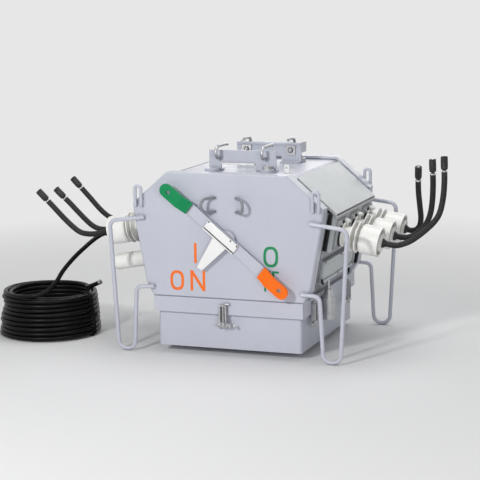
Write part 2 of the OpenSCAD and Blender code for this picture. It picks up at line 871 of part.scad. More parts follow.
// The bar stands on its shaft, and both its ends are cranked outwards
module lever_bar() placed() {
  bar_r = grip_r0 + bar_lap;
  front = crank_line(0, bar_r, 0);
  color(paint) on_lever() {
    translate([0, 0, -lever_w / 2]) linear_extrude(lever_w) polygon(concat(
      [for (p = front) p], [for (k = [3:-1:0]) front[k] + [0, lever_t]],
      [for (k = [1:3]) [-front[k].x, front[k].y + lever_t]], [for (k = [3:-1:1]) [-front[k].x, front[k].y]]));
    translate([0, -bar_y, 0]) rotate([-90, 0, 0]) cylinder(d = shaft_d, h = boss_t + boss_gap - 2);
  }
}

// A cranked grip with a round outer end and a hook-stick hole
module grip(side) {
  end_r = grip_r1 - grip_w / 2;
  back = crank_line(grip_r0, end_r, seat);
  on_lever() difference() {
    union() {
      translate([0, 0, -grip_w / 2]) linear_extrude(grip_w) polygon(concat(
        [for (p = back) [side * p.x, p.y]], [for (k = [3:-1:0]) [side * back[k].x, back[k].y - grip_t]]));
      translate([side * end_r, -grip_y - crank_out - seat, 0]) rotate([90, 0, 0])
        cylinder(d = grip_w, h = grip_t);
    }
    translate([side * lever_hole_r, -bar_y - crank_out, 0]) rotate([90, 0, 0])
      cylinder(d = lever_hole_d, h = 3 * grip_t);
  }
}

module green_grip() placed() color([0.0, 0.55, 0.33]) grip(-1);

module orange_grip() placed() color([1.0, 0.45, 0.12]) grip(1);

module pointer() placed() {
  color("white") on_lever() rotate([90, 0, 0]) translate([0, 0, grip_y + seat]) linear_extrude(plate_t)
    polygon([[-34, 20], [34, 20], [34, -20], [17, -pointer_len], [-17, -pointer_len], [-34, -20]]);
}

module indicator_plate() placed() {
  color("white") on_lever() rotate([90, 0, 0]) translate([0, 0, grip_y + plate_t + 2 * seat])
    linear_extrude(plate_t) translate([-plate_len / 2 - 14, -9]) square([plate_len, plate_w]);
}

// ---- Rope cleats ----

cleat_x = 45;
cleat_z = 116;

module rope_cleats() placed() {
  color(paint) for (side = [1, -1]) {
    difference() {
      sided(side) translate([cleat_x, -face_y, roof_z - cleat_z]) rotate([0, 0, -cleat_lean])
        rotate([0, 90, 0]) translate([0, 0, -cleat_d])
        staple(cleat_w, cleat_len + cleat_d, cleat_len + cleat_d, cleat_d);
      translate([-tank_w / 2, -face_y - seat, cover_z]) cube([tank_w, cover_fold, roof_z - cover_z]);
    }
  }
}

tank_body();
front_cover();
rear_cover();
rim_skirt();
bottom_pan();
shoulder_hood_right();
shoulder_hood_left();
bushing_block_right();
bushing_block_left();
side_panels();
bushings_right();
bushings_left();
sensor_bushing();
lead_right_1();
lead_right_2();
lead_right_3();
lead_left_1();
lead_left_2();
lead_left_3();
lead_caps_right();
lead_caps_left();
hanger_front();
hanger_rear();
hanger_hooks();
hook_washers();
lifting_eyes();
leg_front_right();
leg_front_left();
leg_rear_right();
leg_rear_left();
end_latches();
side_latches();
drain_cup();
cable_gland();
control_cable();
cable_coil();
pivot_boss();
lever_bar();
green_grip();
orange_grip();
pointer();
indicator_plate();
rope_cleats();
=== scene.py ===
"""Looks of the pole-top load break switch: its finishes, leads, control cable and small parts."""

import math

import bmesh
import bpy
from mathutils import Matrix, Vector
from mathutils.geometry import tessellate_polygon


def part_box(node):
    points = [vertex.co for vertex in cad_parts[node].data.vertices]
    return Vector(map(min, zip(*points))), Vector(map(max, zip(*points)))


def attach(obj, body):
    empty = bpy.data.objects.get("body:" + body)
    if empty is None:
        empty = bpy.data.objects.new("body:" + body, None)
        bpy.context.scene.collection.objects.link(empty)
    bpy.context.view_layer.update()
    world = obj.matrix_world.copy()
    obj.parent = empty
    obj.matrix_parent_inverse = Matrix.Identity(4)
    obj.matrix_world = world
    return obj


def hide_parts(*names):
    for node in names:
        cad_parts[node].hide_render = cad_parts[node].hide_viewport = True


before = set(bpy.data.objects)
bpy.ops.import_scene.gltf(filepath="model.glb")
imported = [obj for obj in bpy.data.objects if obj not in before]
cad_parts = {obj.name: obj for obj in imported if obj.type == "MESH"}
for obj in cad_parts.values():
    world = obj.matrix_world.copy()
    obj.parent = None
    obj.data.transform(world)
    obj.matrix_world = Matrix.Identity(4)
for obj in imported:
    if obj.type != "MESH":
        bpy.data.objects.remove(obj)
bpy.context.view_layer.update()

TAU = 2 * math.pi
MM = 0.001
UP = Vector((0, 0, 1))
SMOOTH_ANGLE = math.radians(35)  # edges that turn by more are shaded sharp

# Sizes of the solids that the small parts sit on. OUT is measured off the tapered wall
WALL_LEAN = math.radians(10.46)
BLOCK_H = 144 * MM  # height of the bushing blocks
PLATE_OUT = 46 * MM  # faces of the clamp plates
PLATE_W = 116 * MM
FOOT_OUT = PLATE_OUT + 12 * MM  # faces of the bushings' feet
BUSHING_OUT = 207 * MM  # ends of the bushings' cores, where the leads start
BUSHING_LOW = 10 * MM  # the bushings' axes below the middle of the block
PHASE_PITCH = 170 * MM
PANEL_OUT = 14 * MM  # faces of the side panels
PANEL_DROP = 164 * MM  # their middle below the middle of the block
COVER_FOLD = 58 * MM  # depth of the covers' folded edge
DECK_DROP = 11.8 * MM  # the roof between the covers below their top
LEG_D = 16 * MM
LEVER_TILT = math.radians(39)

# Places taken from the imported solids
rim_low, rim_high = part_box("rim_skirt")
cover_low, cover_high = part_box("front_cover")
boss_low, boss_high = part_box("pivot_boss")
block_low, block_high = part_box("bushing_block_right")
TANK_Y = (rim_low.y + rim_high.y) / 2
HALF_DEPTH = TANK_Y - cover_low.y
ROOF_Z = cover_high.z
PIVOT_X = (boss_low.x + boss_high.x) / 2
PIVOT_Z = (boss_low.z + boss_high.z) / 2
POINTER_OUT = cover_low.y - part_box("pointer")[0].y
WALL_Z = block_high.z - BLOCK_H / 2 * math.cos(WALL_LEAN)
WALL_X = (block_high.x - PLATE_OUT * math.cos(WALL_LEAN)
          - (PLATE_W / 2 - BUSHING_LOW) * math.sin(WALL_LEAN))


# ---- Camera ----

def add_camera():
    """A camera in front of the switch and to its right, a little above it."""
    lens = bpy.data.cameras.new("camera")
    lens.lens = 116.96
    lens.sensor_width = 36
    lens.clip_end = 200
    camera = bpy.data.objects.new("camera", lens)
    bpy.context.scene.collection.objects.link(camera)
    place = Matrix.Translation((2.0292, -5.7005, 1.4148))
    turn = Matrix.Rotation(math.radians(20.185), 4, "Z")
    tilt = Matrix.Rotation(math.radians(90 - 9.564), 4, "X")
    roll = Matrix.Rotation(math.radians(-0.822), 4, "Z")
    camera.matrix_world = place @ turn @ tilt @ roll
    bpy.context.scene.camera = camera


add_camera()


# ---- Places ----

def frame_of(x, y, z, point):
    """A place at point with the given axes."""
    place = Matrix((x, y, z)).transposed().to_4x4()
    place.translation = Vector(point)
    return place


def frame_to(point, direction):
    """A place at point whose Z axis runs along direction and whose X axis is level."""
    z = Vector(direction).normalized()
    x = UP.cross(z)
    if x.length < 1e-3:
        x = Vector((1, 0, 0)).cross(z)
    x.normalize()
    return frame_of(x, z.cross(x), z, point)


def on_wall(side, out, along, up):
    """A place by a tapered wall, from the middle of its block: Z leaves the wall, Y climbs it."""
    z = Vector((side * math.cos(WALL_LEAN), 0, -math.sin(WALL_LEAN)))
    y = Vector((side * math.sin(WALL_LEAN), 0, math.cos(WALL_LEAN)))
    foot = Vector((side * WALL_X, TANK_Y + along, WALL_Z))
    return frame_of(y.cross(z), y, z, foot + z * out + y * up)


def on_cover(end, x, z, out=0.0):
    """A place on the front (1) or the rear (-1) cover: Z leaves it and Y points up."""
    face = Vector((0, -end, 0))
    return frame_of(UP.cross(face), UP, face, (x, TANK_Y - end * (HALF_DEPTH + out), z))


def on_lever(along, across, out):
    """A place on the lever at rest: X runs towards the orange grip and Z leaves the cover."""
    x = Vector((math.cos(LEVER_TILT), 0, -math.sin(LEVER_TILT)))
    y = Vector((math.sin(LEVER_TILT), 0, math.cos(LEVER_TILT)))
    pivot = Vector((PIVOT_X, TANK_Y - HALF_DEPTH - out, PIVOT_Z))
    return frame_of(x, y, Vector((0, -1, 0)), pivot + x * along + y * across)


# ---- Making meshes ----

def finish_piece(name, mesh, material, body):
    """Links a mesh as a piece of the switch, shades it and lets it ride on its body."""
    piece = bpy.data.objects.new(name, mesh)
    bpy.context.scene.collection.objects.link(piece)
    mesh.materials.append(material)
    mesh.shade_smooth()
    mesh.set_sharp_from_angle(angle=SMOOTH_ANGLE)
    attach(piece, body)
    return piece


def mesh_from(name, verts, faces):
    """A mesh of the given points and faces."""
    mesh = bpy.data.meshes.new(name)
    mesh.from_pydata([tuple(v) for v in verts], [], faces)
    mesh.update()
    return mesh


class Parts:
    """Vertices and faces of many small shapes, gathered into one mesh."""

    def __init__(self):
        self.verts = []
        self.faces = []

    def add(self, shape, place=None):
        """Adds a shape's points and faces, moved to a place if one is given."""
        verts, faces = shape
        start = len(self.verts)
        self.verts += [place @ Vector(v) if place else Vector(v) for v in verts]
        self.faces += [tuple(start + i for i in face) for face in faces]

    def piece(self, name, material, slot, body="tank"):
        """Makes one piece of all that was added."""
        mesh = mesh_from(name, self.verts, self.faces)
        return finish_piece(name, mesh, material, body)


def sleeve(rings, sides, closed=False):
    """Faces between rings of points, each of the same number of sides; open ends are capped."""
    faces = []
    for i in range(rings if closed else rings - 1):
        for k in range(sides):
            a, b = i * sides + k, i * sides + (k + 1) % sides
            c, d = (b + sides) % (rings * sides), (a + sides) % (rings * sides)
            faces.append((a, b, c, d))
    if not closed:
        last = (rings - 1) * sides
        faces.append(tuple(reversed(range(sides))))
        faces.append(tuple(last + k for k in range(sides)))
    return faces


def lathe(profile, sides):
    """A closed surface of revolution about Z of (radius, height) pairs, ends capped."""
    verts = [(r * math.cos(TAU * k / sides), r * math.sin(TAU * k / sides), h)
             for r, h in profile for k in range(sides)]
    return verts, sleeve(len(profile), sides)


def tube(points, radius, sides, ripple=None, closed=False):
    """A tube along the points, its rings carried along without twist."""
    verts = []
    side = None
    n = len(points)
    for i, point in enumerate(points):
        after = points[(i + 1) % n] if closed else points[min(i + 1, n - 1)]
        before = points[i - 1] if closed or i else point
        along = (after - before).normalized()
        side = side or along.orthogonal()
        side = (side - along * side.dot(along)).normalized()
        other = along.cross(side)
        r = radius * (ripple(i) if ripple else 1)
        for k in range(sides):
            angle = TAU * k / sides
            verts.append(point + (side * math.cos(angle) + other * math.sin(angle)) * r)
    return verts, sleeve(n, sides, closed)


def rounded_box(size, bevel):
    """A box about the origin with rounded edges."""
    box = bmesh.new()
    bmesh.ops.create_cube(box, size=1)
    bmesh.ops.scale(box, vec=size, verts=box.verts)
    bmesh.ops.bevel(box, geom=box.edges[:], offset=bevel, segments=2, profile=0.5, affect="EDGES")
    box.verts.index_update()
    verts = [v.co.copy() for v in box.verts]
    faces = [tuple(v.index for v in face.verts) for face in box.faces]
    box.free()
    return verts, faces


def raised(loops, height):
    """A plate standing on Z = 0 from its outline, anticlockwise, and its holes, clockwise."""
    outlines = [[Vector((x, y, 0)) for x, y in loop] for loop in loops]
    flat = [v for outline in outlines for v in outline]
    n = len(flat)
    faces = []
    for a, b, c in tessellate_polygon(outlines):
        if (flat[b] - flat[a]).cross(flat[c] - flat[a]).z < 0:
            b, c = c, b
        faces += [(a + n, b + n, c + n), (c, b, a)]
    start = 0
    for loop in loops:
        for k in range(len(loop)):
            a, b = start + k, start + (k + 1) % len(loop)
            faces.append((a, b, b + n, a + n))
        start += len(loop)
    return flat + [v + Vector((0, 0, height)) for v in flat], faces


def hexagon_nut(across, height):
    """A hexagon nut of a width across its flats, its top corners cut off, standing on Z = 0."""
    corner = across * 0.577
    return lathe([(corner, 0), (corner, height * 0.8), (across * 0.5, height)], 6)


def bolt_head(d):
    """A washer, a hexagon nut and a rounded thread end for a bolt of diameter d."""
    parts = Parts()
    parts.add(lathe([(d * 1.1, 0), (d * 1.1, d * 0.12), (d * 1.04, d * 0.18)], 24))
    parts.add(hexagon_nut(d * 1.62, d * 0.62), Matrix.Translation((0, 0, d * 0.18)))
    parts.add(lathe([(d * 0.46, 0), (d * 0.46, d * 0.3), (d * 0.34, d * 0.42)], 16),
              Matrix.Translation((0, 0, d * 0.75)))
    return parts.verts, parts.faces


def smooth_route(points, spacing):
    """Points about a spacing apart on the smooth curve through the route's points."""
    p = [Vector(q) for q in points]
    ends = [2 * p[0] - p[1]] + p + [2 * p[-1] - p[-2]]
    out = []
    for i in range(len(p) - 1):
        a, b, c, d = ends[i:i + 4]
        steps = max(1, round((c - b).length / spacing))
        for k in range(steps):
            t = k / steps
            out.append(0.5 * ((2 * b) + (c - a) * t + (2 * a - 5 * b + 4 * c - d) * t * t
                              + (3 * b - a - 3 * c + d) * t ** 3))
    return out + [p[-1]]


def arc(x, y, r, first, last, steps):
    """Points on an arc about (x, y) from one angle to another."""
    return [(x + r * math.cos(first + (last - first) * k / steps),
             y + r * math.sin(first + (last - first) * k / steps)) for k in range(steps + 1)]


# ---- Materials ----

PAINT = (0.545, 0.562, 0.64)
PALE_PAINT = (0.60, 0.63, 0.64)
GREEN = (0.0, 0.25, 0.085)
ORANGE = (0.98, 0.165, 0.004)
DUST = (0.66, 0.65, 0.62)


class Look:
    """A material with a Principled shader and short calls for its procedural detail."""

    def __init__(self, name, roughness=0.5, metallic=0.0, coat=0.0, specular=0.5):
        self.material = bpy.data.materials.new(name)
        self.material.use_nodes = True
        self.tree = self.material.node_tree
        self.shader = self.tree.nodes["Principled BSDF"]
        self.shader.inputs["Roughness"].default_value = roughness
        self.shader.inputs["Metallic"].default_value = metallic
        self.shader.inputs["Coat Weight"].default_value = coat
        self.shader.inputs["Coat Roughness"].default_value = 0.12
        self.shader.inputs["Specular IOR Level"].default_value = specular
        self.place = self.tree.nodes.new("ShaderNodeTexCoord").outputs["Object"]
        self.geometry = self.tree.nodes.new("ShaderNodeNewGeometry")

    def link(self, source, socket):
        self.tree.links.new(source, socket)

    def set(self, socket, value):
        """Links another node's output to a socket, or gives it a constant."""
        if hasattr(value, "is_output"):
            self.link(value, socket)
        else:
            socket.default_value = value

    def noise(self, scale, detail=3.0, roughness=0.55, distortion=0.0, stretch=(1, 1, 1)):
        """Noise in the object's own metres."""
        node = self.tree.nodes.new("ShaderNodeTexNoise")
        mapping = self.tree.nodes.new("ShaderNodeMapping")
        mapping.inputs["Scale"].default_value = stretch
        self.link(self.place, mapping.inputs["Vector"])
        self.link(mapping.outputs["Vector"], node.inputs["Vector"])
        node.inputs["Scale"].default_value = scale
        node.inputs["Detail"].default_value = detail
        node.inputs["Roughness"].default_value = roughness
        node.inputs["Distortion"].default_value = distortion
        return node.outputs["Fac"]

    def cells(self, scale):
        """A random colour for each cell, as in a zinc spangle."""
        node = self.tree.nodes.new("ShaderNodeTexVoronoi")
        self.link(self.place, node.inputs["Vector"])
        node.inputs["Scale"].default_value = scale
        return node.outputs["Color"]

    def levels(self, value, low, high, out_low=0.0, out_high=1.0):
        """Maps low and high to out_low and out_high, and holds the ends."""
        node = self.tree.nodes.new("ShaderNodeMapRange")
        self.set(node.inputs["Value"], value)
        node.inputs["From Min"].default_value = low
        node.inputs["From Max"].default_value = high
        node.inputs["To Min"].default_value = out_low
        node.inputs["To Max"].default_value = out_high
        return node.outputs["Result"]

    def math(self, operation, a, b):
        node = self.tree.nodes.new("ShaderNodeMath")
        node.operation = operation
        self.set(node.inputs[0], a)
        self.set(node.inputs[1], b)
        return node.outputs["Value"]

    def times(self, a, b):
        return self.math("MULTIPLY", a, b)

    def mix(self, factor, a, b, mode="MIX"):
        """Colour a at factor 0 and colour b at factor 1. Sockets 6, 7 and 2 are the colour ones."""
        node = self.tree.nodes.new("ShaderNodeMix")
        node.data_type = "RGBA"
        node.blend_type = mode
        self.set(node.inputs["Factor"], factor)
        for socket, value in ((node.inputs[6], a), (node.inputs[7], b)):
            self.set(socket, (*value, 1) if isinstance(value, tuple) else value)
        return node.outputs[2]

    def crevice_shade(self, distance):
        """1 in corners and under overhangs, 0 on open surfaces: where shade is painted."""
        node = self.tree.nodes.new("ShaderNodeAmbientOcclusion")
        node.samples = 8
        node.inputs["Distance"].default_value = distance
        return self.levels(node.outputs["AO"], 0.35, 0.95, 1.0, 0.0)

    def facing_up(self):
        """1 on level tops, 0 on upright faces."""
        node = self.tree.nodes.new("ShaderNodeSeparateXYZ")
        self.link(self.geometry.outputs["Normal"], node.inputs["Vector"])
        return self.levels(node.outputs["Z"], 0.3, 1.0)

    def bump(self, height, strength, distance):
        node = self.tree.nodes.new("ShaderNodeBump")
        node.inputs["Strength"].default_value = strength
        node.inputs["Distance"].default_value = distance
        self.link(height, node.inputs["Height"])
        return node

    def color(self, value):
        self.set(self.shader.inputs["Base Color"], value)

    def roughness(self, value):
        self.link(value, self.shader.inputs["Roughness"])

    def normal(self, node):
        self.link(node.outputs["Normal"], self.shader.inputs["Normal"])


def scaled(color, share):
    """A colour made darker or brighter."""
    return tuple(min(1.0, c * share) for c in color)


def enamel(name, color, gloss=0.34, corner_shade=0.5, reach=14 * MM, dusty=0.2, shine=0.5):
    """Sprayed enamel: orange peel, cloudy tone, soft edges, dust on top and painted shade in
    corners.
    """
    look = Look(name, coat=0.3 * shine, specular=shine)
    clouds = look.noise(3.2, 5.0, 0.6)
    base = look.mix(look.levels(clouds, 0.3, 0.7), scaled(color, 0.965), scaled(color, 1.025))
    streaks = look.noise(14.0, 4.0, 0.6, stretch=(1.6, 1.6, 0.25))
    base = look.mix(look.times(look.levels(streaks, 0.56, 0.75), 0.12), base, scaled(color, 0.8))
    tops = look.facing_up()
    patches = look.levels(look.noise(9.0, 5.0, 0.65), 0.4, 0.75, 0.02, dusty)
    base = look.mix(look.times(tops, patches), base, DUST)
    specks = look.levels(look.noise(260.0, 2.0), 0.7, 0.74, 0.0, 0.2)
    base = look.mix(specks, base, scaled(color, 0.55))
    # Painted shade: darker in corners and under overhangs within reach, weaker on level tops
    upright = look.levels(look.facing_up(), 0.0, 1.0, 1.0, 0.25)
    corners = look.times(look.crevice_shade(reach), upright)
    base = look.mix(look.times(corners, corner_shade), base, scaled(color, 0.07))
    look.color(base)
    look.roughness(look.levels(look.noise(22.0, 4.0), 0.3, 0.7, gloss - 0.06, gloss + 0.09))
    peel = look.bump(look.noise(420.0, 2.0), 0.10, 0.25 * MM)
    bevel = look.tree.nodes.new("ShaderNodeBevel")
    bevel.samples = 4
    bevel.inputs["Radius"].default_value = 1.2 * MM
    look.link(bevel.outputs["Normal"], peel.inputs["Normal"])
    look.normal(peel)
    return look.material


def porcelain():
    """Off-white glazed ware with a wet shine, faint pooling and fine specks."""
    look = Look("porcelain", coat=0.12, specular=0.5)
    pooling = look.levels(look.noise(18.0, 4.0, 0.6), 0.35, 0.7)
    base = look.mix(pooling, (0.93, 0.925, 0.895), (0.89, 0.885, 0.85))
    specks = look.levels(look.noise(340.0, 1.0), 0.72, 0.76, 0.0, 0.3)
    base = look.mix(specks, base, (0.42, 0.40, 0.36))
    # Painted shade in corners and under overhangs
    base = look.mix(look.times(look.crevice_shade(20 * MM), 0.4), base, (0.40, 0.39, 0.36))
    look.color(base)
    look.roughness(look.levels(look.noise(40.0, 3.0), 0.3, 0.7, 0.27, 0.38))
    look.normal(look.bump(look.noise(55.0, 3.0), 0.12, 0.6 * MM))
    return look.material


def rubber(name, tone, scuff, grain=520.0, shine=0.36, specular=0.4):
    """Black rubber: fine grain, pale scuffs and a dull sheen."""
    look = Look(name, specular=specular)
    base = look.mix(look.levels(look.noise(24.0, 4.0), 0.35, 0.7), (tone,) * 3, (tone * 1.6,) * 3)
    marks = look.levels(look.noise(75.0, 6.0, 0.7, 0.6), 0.6, 0.8, 0.0, 0.35)
    base = look.mix(marks, base, (scuff, scuff, scuff * 1.04))
    look.color(base)
    look.roughness(look.levels(look.noise(60.0, 4.0), 0.3, 0.7, shine, shine + 0.18))
    look.normal(look.bump(look.noise(grain, 3.0), 0.3, 0.35 * MM))
    return look.material


def zinc(name, tone=0.5, rough=0.36):
    """Zinc-plated or galvanised steel with its spangle and dull patches."""
    look = Look(name, metallic=0.85)
    spangle = look.levels(look.cells(150.0), 0.1, 0.9, 0.3, 0.7)
    base = look.mix(0.3, (tone, tone, tone * 1.02), spangle, "OVERLAY")
    dull = look.levels(look.noise(30.0, 5.0), 0.5, 0.75, 0.0, 0.4)
    base = look.mix(dull, base, scaled((tone,) * 3, 0.6))
    # Painted shade in corners and under overhangs
    base = look.mix(look.times(look.crevice_shade(8 * MM), 0.6), base, (0.12, 0.12, 0.12))
    look.color(base)
    look.roughness(look.levels(look.noise(80.0, 4.0), 0.3, 0.7, rough - 0.08, rough + 0.14))
    look.normal(look.bump(look.noise(300.0, 3.0), 0.15, 0.2 * MM))
    return look.material


def moulded(name, color):
    """Moulded plastic with a fine grain."""
    look = Look(name)
    clouds = look.levels(look.noise(35.0, 4.0), 0.3, 0.7)
    look.color(look.mix(clouds, scaled(color, 0.85), scaled(color, 1.2)))
    look.roughness(look.levels(look.noise(90.0, 3.0), 0.3, 0.7, 0.4, 0.58))
    look.normal(look.bump(look.noise(700.0, 2.0), 0.25, 0.15 * MM))
    return look.material


def stencil(name, color):
    """Sprayed marking paint, worn through in specks and thin at places."""
    look = Look(name)
    clouds = look.levels(look.noise(60.0, 4.0, 0.6), 0.3, 0.7)
    base = look.mix(clouds, scaled(color, 0.9), scaled(color, 1.1))
    worn = look.levels(look.noise(230.0, 4.0, 0.7), 0.64, 0.7, 0.0, 0.55)
    look.color(look.mix(worn, base, PAINT))
    look.roughness(look.levels(look.noise(90.0, 3.0), 0.3, 0.7, 0.45, 0.6))
    look.normal(look.bump(look.noise(420.0, 2.0), 0.12, 0.2 * MM))
    return look.material


paint = enamel("paint", PAINT, corner_shade=0.4)
# The tank's body gets painted shade reaching 120 mm out from the flanges, blocks and hoods beside
# it
shaded_shell_paint = enamel("shaded_shell_paint", PAINT, corner_shade=1.0, reach=120 * MM)
pale_paint = enamel("pale_paint", PALE_PAINT, gloss=0.42, corner_shade=0.7)
green = enamel("green_enamel", GREEN, gloss=0.4, dusty=0.03, shine=0.25)
orange = enamel("orange_enamel", ORANGE, gloss=0.4, dusty=0.03, shine=0.25)
# Painted shade: the body paint darkened for the cleats, standing for the shade and dark reflections
# on them
shaded_paint = enamel("shaded_paint", scaled(PAINT, 0.42), corner_shade=0.5, dusty=0.1)
white = enamel("white_enamel", (0.90, 0.90, 0.89), gloss=0.36, corner_shade=0.3)
green_mark = stencil("green_marking", GREEN)
orange_mark = stencil("orange_marking", ORANGE)
glaze = porcelain()
lead_rubber = rubber("lead_rubber", 0.018, 0.05, shine=0.44, specular=0.2)
cap_rubber = rubber("cap_rubber", 0.022, 0.06, 380.0, specular=0.25)
cable_black = rubber("cable_rubber", 0.003, 0.009, shine=0.26, specular=0.13)
# Black rubber for seals, clips and rivets, also used for dark strips of painted shade
black_rubber_and_shade = rubber("black_rubber_and_shade", 0.012, 0.04)
zinc_plate = zinc("zinc")
bright_zinc = zinc("bright_zinc", 0.45, 0.38)
gland_plastic = moulded("gland_plastic", (0.035, 0.035, 0.038))

# The nodes that aren't in plain paint
NODE_LOOKS = {
    shaded_shell_paint: ["tank_body"],
    shaded_paint: ["rope_cleats"],
    pale_paint: ["shoulder_hood_right", "shoulder_hood_left", "bushing_block_right",
                 "bushing_block_left", "side_panels"],
    glaze: ["bushings_right", "bushings_left", "sensor_bushing"],
    zinc_plate: ["hanger_hooks", "hook_washers", "end_latches", "side_latches", "drain_cup"],
    gland_plastic: ["cable_gland"],
    green: ["green_grip"],
    orange: ["orange_grip"],
    white: ["pointer", "indicator_plate"],
}


def dress_solids():
    """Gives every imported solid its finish."""
    looks = {node: look for look, nodes in NODE_LOOKS.items() for node in nodes}
    for name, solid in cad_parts.items():
        solid.data.materials.clear()
        solid.data.materials.append(looks.get(name, paint))


dress_solids()


# ---- Leads ----

LEAD_D = 22 * MM
LEAD_STEP = 13 * MM
CAP_D = 27 * MM
CAP_LEN = 56 * MM
SEAT = 0.2 * MM  # gap between a bushing's core and its lead

# Routes of the leads outside their bushings, front to rear, in metres about the tank's middle
LEAD_ROUTES = {
    "right": [
        [(0.586, -0.170, 0.428), (0.610, -0.170, 0.426), (0.650, -0.167, 0.439),
         (0.683, -0.161, 0.460), (0.715, -0.150, 0.487), (0.743, -0.140, 0.516),
         (0.761, -0.130, 0.549), (0.769, -0.113, 0.600), (0.770, -0.097, 0.655),
         (0.767, -0.085, 0.696)],
        [(0.584, 0, 0.428), (0.607, 0, 0.429), (0.632, 0, 0.438), (0.658, 0, 0.457),
         (0.681, 0, 0.487), (0.696, 0, 0.526), (0.703, 0, 0.577), (0.705, 0, 0.635),
         (0.704, 0, 0.675)],
        [(0.577, 0.169, 0.428), (0.599, 0.164, 0.432), (0.617, 0.154, 0.450),
         (0.625, 0.142, 0.484), (0.625, 0.124, 0.532), (0.625, 0.103, 0.582),
         (0.627, 0.087, 0.617), (0.629, 0.079, 0.640)]],
    "left": [
        [(-0.584, -0.170, 0.427), (-0.615, -0.170, 0.418), (-0.651, -0.170, 0.415),
         (-0.686, -0.170, 0.420), (-0.717, -0.170, 0.439), (-0.757, -0.170, 0.473),
         (-0.801, -0.170, 0.516), (-0.828, -0.170, 0.542)],
        [(-0.583, 0, 0.427), (-0.609, 0, 0.417), (-0.645, 0, 0.408), (-0.685, 0, 0.408),
         (-0.720, 0, 0.423), (-0.758, 0, 0.455), (-0.808, 0, 0.503), (-0.836, 0, 0.529)],
        [(-0.580, 0.170, 0.428), (-0.602, 0.170, 0.423), (-0.639, 0.170, 0.417),
         (-0.679, 0.170, 0.418), (-0.719, 0.170, 0.432), (-0.757, 0.170, 0.460),
         (-0.809, 0.170, 0.514), (-0.844, 0.170, 0.550)]],
}


def shifted(points):
    """Points given about the tank's middle, moved to the frame of the part."""
    return [Vector((x, y + TANK_Y, z)) for x, y, z in points]


def cap_shape():
    """A shrunk sleeve over a lead's end: a thin neck, a straight body and a lipped tip."""
    r = CAP_D / 2
    neck = 7 * MM
    return lathe([(neck, 1 * MM), (neck, 7 * MM), (r - 2 * MM, 8 * MM), (r - 0.6 * MM, 9.5 * MM),
                  (r - 0.5 * MM, 16 * MM), (r, 18 * MM), (r, CAP_LEN - 8 * MM),
                  (r - 0.9 * MM, CAP_LEN - 6.5 * MM), (r - 0.9 * MM, CAP_LEN - 5.5 * MM),
                  (r, CAP_LEN - 4.5 * MM), (r, CAP_LEN - 1 * MM), (r - 1 * MM, CAP_LEN),
                  (r - 2.2 * MM, CAP_LEN)], 28)


def end_fittings():
    """The bright ferrule at a lead's end and the end of its core in the cap's tip."""
    r = LEAD_D / 2
    parts = Parts()
    parts.add(lathe([(r + 0.1 * MM, -4 * MM), (r + 0.7 * MM, -3.5 * MM), (r + 0.7 * MM, -0.8 * MM),
                     (r - 0.4 * MM, 0.8 * MM), (7.4 * MM, 3.6 * MM)], 28))
    parts.add(lathe([(6 * MM, CAP_LEN - 2 * MM), (6 * MM, CAP_LEN + 0.6 * MM),
                     (5 * MM, CAP_LEN + 1.4 * MM)], 28))
    return parts.verts, parts.faces


def add_lead(side, number):
    """A lead from its bushing's mouth to its capped end."""
    name = "lead_%s_%d" % (side, number + 1)
    sign = 1 if side == "right" else -1
    mouth = on_wall(sign, BUSHING_OUT + SEAT, (number - 1) * PHASE_PITCH, -BUSHING_LOW)
    start = mouth.translation
    out = mouth.col[2].to_3d()
    route = [start, start + out * LEAD_D / 2] + shifted(LEAD_ROUTES[side][number])
    points = smooth_route(route, LEAD_STEP)
    mesh = mesh_from(name, *tube(points, LEAD_D / 2, 18))
    lead = finish_piece("run_" + name, mesh, lead_rubber, "tank")
    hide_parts(name)
    heading = (points[-1] - points[-3]).normalized()
    tip = frame_to(points[-1], heading)
    cap = Parts()
    cap.add(cap_shape(), tip)
    cap_piece = cap.piece("cap_" + name, cap_rubber, "cap_rubber")
    ends = Parts()
    ends.add(end_fittings(), tip)
    end_piece = ends.piece("ends_" + name, bright_zinc, "zinc")
    return cap_piece


def add_leads():
    """Three leads a side."""
    for lead_side in ("right", "left"):
        caps = [add_lead(lead_side, number) for number in range(3)]
        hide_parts("lead_caps_" + lead_side)


add_leads()


# ---- Control cable ----

CABLE_D = 18 * MM
CABLE_STEP = 17 * MM
MOUTH_RISE = 14.85 * MM  # from the gland's lowest edge to the middle of its mouth

# The coil: its middle, its size, its turns and the angles about it where the cable comes and goes
COIL_X, COIL_Y = -0.843, -0.150
COIL_H = 0.186
COIL_R, COIL_TOP_R = 0.206, 0.190
LAYER_TURNS = 9.2
LAYER_STEP = CABLE_D + 2.5 * MM
TURN_STEPS = 44
LANDING_ANGLE = math.radians(-100)
LEAVING_ANGLE = math.radians(35)
TIE_ANGLE = -0.1

# A waist round the coil, deepest opposite its angle, and a loose turn that stands out at its angle
WAIST_IN, WAIST_Z, WAIST_H, WAIST_ANGLE = 9 * MM, 0.124, 0.022, 0.35
LOOSE_OUT, LOOSE_Z, LOOSE_H, LOOSE_ANGLE = 5 * MM, 0.112, 0.010, 0.3

# Routes of the cable from its gland to the coil and of its free end, about the tank's middle
CABLE_ROUTE = [(-0.436, 0.106, 0.370), (-0.500, 0.084, 0.368), (-0.560, 0.042, 0.374),
               (-0.600, 0, 0.386), (-0.642, -0.040, 0.397), (-0.667, -0.090, 0.379),
               (-0.690, -0.140, 0.350), (-0.715, -0.185, 0.316), (-0.740, -0.232, 0.272),
               (-0.754, -0.268, 0.232), (-0.775, -0.302, 0.202), (-0.803, -0.321, 0.188),
               (-0.838, -0.330, 0.182)]
TAIL_ROUTE = [(-0.703, -0.092, 0.182), (-0.686, -0.115, 0.189), (-0.664, -0.128, 0.197),
              (-0.643, -0.133, 0.206), (-0.622, -0.134, 0.216)]


def near(height, middle, reach):
    """1 at the middle height, falling softly to 0 some way past its reach."""
    return math.exp(-((height - middle) / reach) ** 2)


